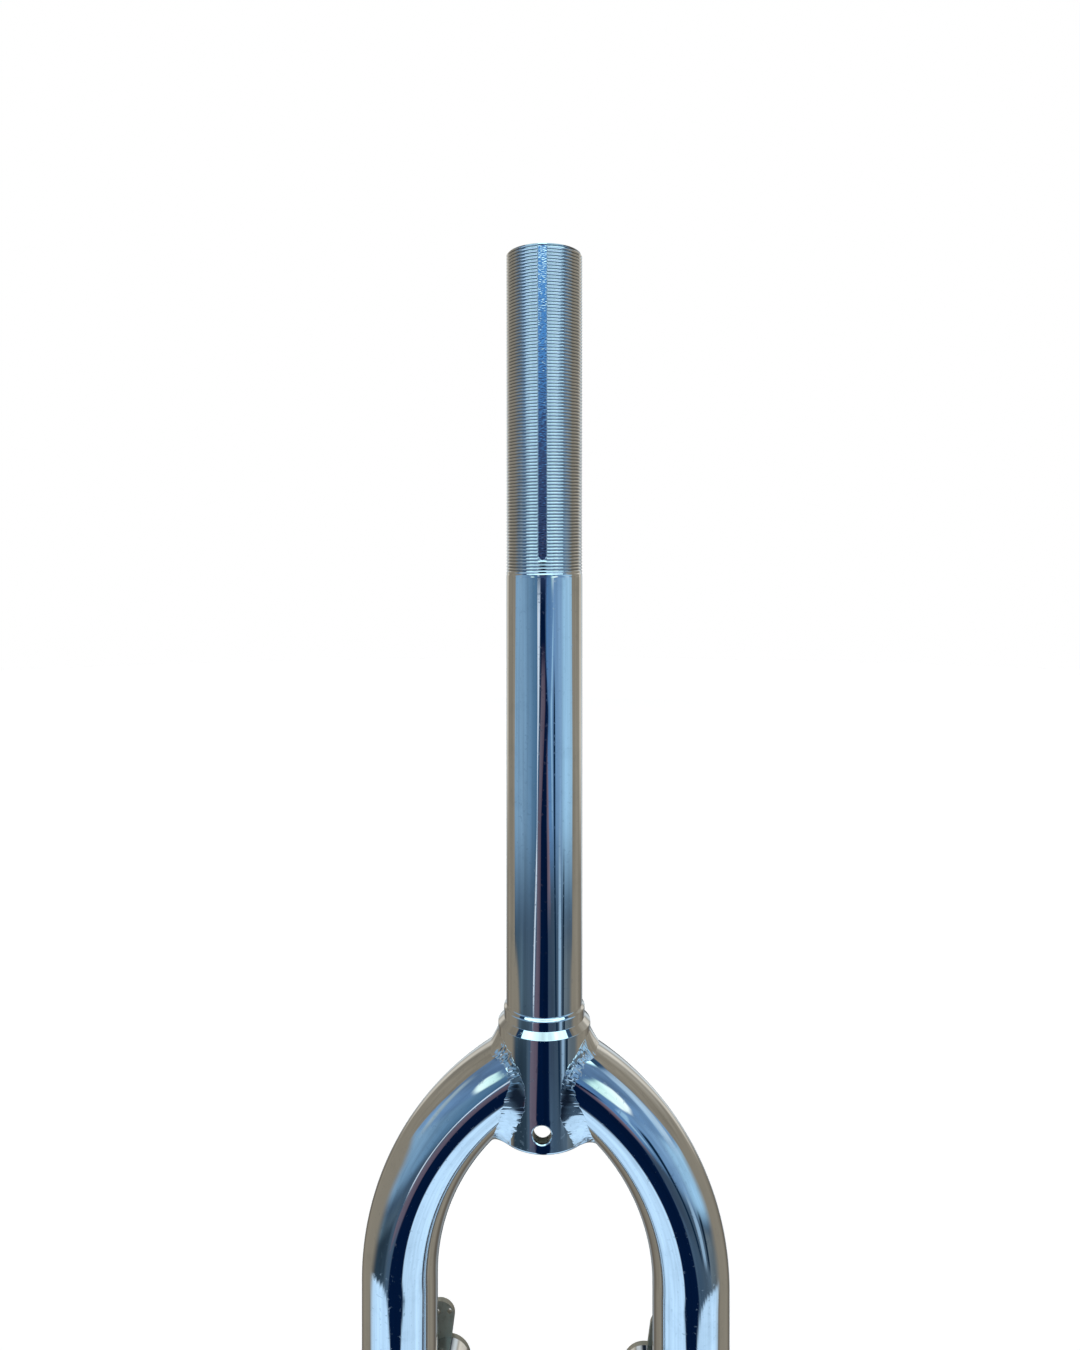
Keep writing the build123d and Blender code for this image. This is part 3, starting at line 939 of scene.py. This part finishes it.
paint([(-12, 210, 222), (42, 212, 226)], [(190, 184, 172), (196, 190, 178)], (8, 10))
print("far side, mean light", picture.mean(axis=(0, 1)).round(2))

# %% Window above
WINDOW = (212, 246, 252)
SUNLIT = (246, 300, 314)

# A dark rim, blue in the middle below it, and the bright pane, which lights the thread and the shoulder.
rim = [(38, -81, 84), (45, -88, 91), (52, -98, 101), (57, -108, 113), (60, -122, 125), (62, -145, 145)]
paint(rim, [(30, 52, 76), (44, 70, 96)], (5, 4))
paint([(14, -11, 11), (24, -18, 18)], [(80, 140, 204), (80, 140, 204)], (5, 4))
paint([(1, -9, 9), (14, -12, 12)], [(56, 72, 106), (56, 72, 106)], (5, 4))
pane = [(39, -60, 69), (42, -62, 71), (46, -66, 75), (52, -74, 83), (57, -83, 92), (60, -95, 105)]
pane += [(62, -190, 190), (99, -190, 190)]
paint([(25, -24, 24), (38, -34, 34)], [SUNLIT, SUNLIT], (6, 4))
paint(pane, [SUNLIT, SUNLIT], (3, 4))
paint([(60, -40, 40), (70, -60, 60)], [WINDOW, WINDOW], (12, 4))
print("brightest", picture.max(axis=(0, 1)).round(2))

# %% Lamps, dark panel and lines
NAVY = (10, 27, 53)
left_lamp = [(5, -34, -27), (8, -38, -28), (12, -43, -32), (16, -46, -36), (20, -46, -40)]
right_lamp = [(2.5, 24, 31), (6, 22, 39), (12, 27, 46), (17, 33, 48), (21, 38, 47)]
paint(left_lamp, [(224, 250, 248), (196, 240, 236)], (4, 3))
paint(right_lamp, [(190, 238, 234), (236, 252, 252)], (4, 3))
panel = [(-99, -20, 13), (-50, -20, 12), (-46, -17, 9), (-42, -16, 8), (-39.5, -19, 12), (-37, -26, 21)]
panel += [(-33, -24, 19), (-27, -14, 17), (-20, -9, 17), (-13, -10, 10), (-6, -10, 18), (-3, -9, 8)]
panel += [(0, -9, 6), (3, -8, 7)]
paint(panel, [NAVY, NAVY], (4, 5))
mauve_line = [(-31, -34, -18), (-27, -32, -14), (-20, -22, -9), (-13, -16, -7), (-5.5, -7, 6), (-3, -5, 5)]
paint(mauve_line, [(98, 92, 106), (84, 74, 88)], (2.5, 3))
paint([(-28, 18, 36), (-17, 17, 33)], [(52, 66, 84), (62, 79, 96)], (2.5, 4))
paint([(-18, 13, 22), (-13, 10, 18), (-9, 9, 16)], [(78, 68, 82), (112, 99, 110)], (2.5, 4))
white_line = [(-24, -31, -28), (-20, -28, -25), (-13, -21, -18), (-6, -17, -13), (-3, -17, -11.5), (2, -18, -9)]
paint(white_line, [(214, 230, 242), (190, 208, 230)], (1.4, 3))
paint([(-13, 25, 28), (-6, 21.5, 26), (0, 28, 31)], [(126, 166, 200), (146, 184, 210)], (1.6, 3))
paint([(-29, 46, 53), (-20, 46, 55), (-14, 47, 52)], [(128, 156, 180), (128, 156, 180)], (2, 4))
paint([(-29, 39, 43), (-16, 32, 36.5), (-8, 30, 36), (-4, 31, 35)], [(14, 40, 62), (14, 40, 62)], (2, 4))
paint([(-29, 57, 62), (-16, 61, 66)], [(22, 40, 56), (22, 40, 56)], (2, 4))
print("patches done, mean light", picture.mean(axis=(0, 1)).round(2))

# %% The dome round the fork
turn, rise = np.radians(compass), np.radians(heights)
dome_points = np.stack([np.sin(turn) * np.cos(rise), -np.cos(turn) * np.cos(rise), np.sin(rise)], axis=-1)
dome_mesh = bpy.data.meshes.new("dome")
dome_mesh.from_pydata((DOME_RADIUS * dome_points).reshape(-1, 3), [], quads(numbered(dome_points)))
glow = dome_mesh.color_attributes.new("glow", "FLOAT_COLOR", "POINT")
glow.data.foreach_set("color", np.dstack([picture, np.ones(turn.shape)]).astype(np.float32).ravel())
dome = bpy.data.objects.new("dome", dome_mesh)
show(dome)
dome.visible_camera = dome.visible_diffuse = dome.visible_shadow = False

# Slow noise stirs the paint, so that no patch is quite even.
STIR_SCALE, STIR_STRETCH, STIR_SWING, STIR_LEAST = 1.1, (1, 1, 0.6), 0.9, 0.55
dome_material = bpy.data.materials.new("painted dome")
shade = clear_tree(dome_material)
place = shade.node("ShaderNodeTexCoord", output="Object")
stir = noise(place, STIR_SCALE, 3.0, 0.6, STIR_STRETCH) * STIR_SWING + STIR_LEAST
grey = shade.node("ShaderNodeCombineColor", inputs={"Red": stir, "Green": stir, "Blue": stir})
paint_colour = shade.node("ShaderNodeVertexColor", {"layer_name": "glow"})
settings = {"data_type": "RGBA", "blend_type": "MULTIPLY"}
mottled = shade.node("ShaderNodeMix", settings, {0: 1.0, 6: paint_colour, 7: grey}, output=2)
lit = shade.node("ShaderNodeEmission", inputs={"Color": mottled})
shade.node("ShaderNodeOutputMaterial", inputs={"Surface": lit})
dome_mesh.materials.append(dome_material)
print("dome", len(dome_mesh.polygons) * 2, "triangles")

# %% [markdown]
# ## A card beside each leg
#
# A far dome looks the same from the steerer and from the legs, but the real legs show a broader band of brown
# along their outer bends. More brown on the dome would broaden the steerer's edges too. So a bent brown card
# stands close to each leg, too low for most of the steerer to see. It is clear at its rim and full in its
# middle, and an attribute says how full it is at each point.

# %% Cards beside the legs
CARD_REACH = 0.1
CARD_SOFT = 24
CARD_END = 134
CARD_GRID = 80
CARD_LOW_FADE = 60 * MM
CARD_TOP_FADE = 20 * MM
card_levels = np.array([-250, -162, -124, -87, -55, -42, -20]) * MM
card_edges = {"left": [80, 80, 73, 69, 66, 72, 90], "right": [77, 77, 81, 85, 84, 86, 94]}
card_low, card_top = card_levels[0], card_levels[-1]
card_material = bpy.data.materials.new("brown card")
shade = clear_tree(card_material)
cover = shade.node("ShaderNodeAttribute", {"attribute_name": "cover"}, output="Fac")
brown = shade.node("ShaderNodeEmission", inputs={"Color": (*light(*TAUPE), 1)})
clear = shade.node("ShaderNodeBsdfTransparent")
mixed = shade.node("ShaderNodeMixShader", inputs={0: cover, 1: clear, 2: brown})
shade.node("ShaderNodeOutputMaterial", inputs={"Surface": mixed})

share, level = np.meshgrid(np.linspace(0, 1, CARD_GRID), np.linspace(card_low, card_top, CARD_GRID))
ends = ease((level - card_low) / CARD_LOW_FADE) * ease((card_top - level) / CARD_TOP_FADE)
for side, flip in SIDES.items():
    first = np.interp(level, card_levels, card_edges[side]) - CARD_SOFT / 2
    bearing = first + (CARD_END - first) * share
    full = ends * ease((bearing - first) / CARD_SOFT) * ease((CARD_END - bearing) / CARD_SOFT)
    turn = np.radians(bearing) * flip[0]
    card_x = leg_x * flip[0] + CARD_REACH * np.sin(turn)
    card_points = np.stack([card_x, -CARD_REACH * np.cos(turn), level], axis=-1)
    card_mesh = bpy.data.meshes.new(f"{side}_card")
    card_mesh.from_pydata(card_points.reshape(-1, 3), [], quads(numbered(card_points), close_columns=False))
    mask = card_mesh.attributes.new("cover", "FLOAT", "POINT")
    mask.data.foreach_set("value", full.astype(np.float32).ravel())
    card_mesh.materials.append(card_material)
    card = bpy.data.objects.new(f"{side}_card", card_mesh)
    show(card)
    card.visible_camera = card.visible_diffuse = card.visible_shadow = False
print("cards", len(SIDES))

# %% [markdown]
# ## Floor, world and lamp
#
# The floor is plain and pale, level with the dropouts. The world is white for the camera, for reflections and
# through glass, and dimmer as a light, so the white comes from no extra light on the fork. The floor glows
# by as much as its own light falls short of white. An area lamp would light it unevenly, so one broad,
# far lamp gives the fork its shadow.

# %% Stage
FLOOR_RINGS = np.array([0.02, 0.5, 2.0, 6.0])[:, None]
FLOOR_SIDES = 96
FLOOR_GAP = 0.5 * MM
FLOOR_GLOW = 0.42
WORLD_LIGHT = 0.35


def shown_rays(shade):
    """1 for rays from the camera, from mirrors and through glass, and 0 for all others."""
    names = ("Is Camera Ray", "Is Glossy Ray", "Is Transmission Ray")
    straight, mirrored, through = [shade.node("ShaderNodeLightPath", output=name) for name in names]
    return (straight + mirrored + through).clamp()


ring = np.linspace(0, 2 * np.pi, FLOOR_SIDES, endpoint=False)
floor_x, floor_y = FLOOR_RINGS * np.cos(ring), FLOOR_RINGS * np.sin(ring)
floor_points = np.stack(np.broadcast_arrays(floor_x, floor_y, cad_low[2] - FLOOR_GAP), axis=-1)
floor_index = numbered(floor_points)
hub = tuple(floor_index[0])
floor_mesh = bpy.data.meshes.new("floor")
floor_mesh.from_pydata(floor_points.reshape(-1, 3), [], [*quads(floor_index).tolist(), hub])
floor = bpy.data.objects.new("floor", floor_mesh)
show(floor)
floor_material, floor_shader, shade = start_material("pale_floor")
wire(
    floor_shader, shade,
    Base_Color=(0.9, 0.9, 0.9, 1),
    Roughness=0.9,
    Emission_Color=(1, 1, 1, 1),
    Emission_Strength=shown_rays(shade) * FLOOR_GLOW,
)
floor_mesh.materials.append(floor_material)
floor.visible_glossy = False

world = bpy.data.worlds.new("white room")
bpy.context.scene.world = world
shade = clear_tree(world)
strength = WORLD_LIGHT + shown_rays(shade) * (1 - WORLD_LIGHT)
backdrop = shade.node("ShaderNodeBackground", inputs={"Color": (1, 1, 1, 1), "Strength": strength})
shade.node("ShaderNodeOutputWorld", inputs={"Surface": backdrop})

key = bpy.data.lights.new("soft lamp", "SUN")
key.energy = 1.2
key.angle = np.radians(16)
key_lamp = bpy.data.objects.new("soft lamp", key)
key_lamp.location = (-1.0, 1.2, 2.2)
key_lamp.rotation_euler = (np.radians(-28), np.radians(-24), 0)
key_lamp.visible_glossy = False
show(key_lamp)
print("floor, world and lamp are set")
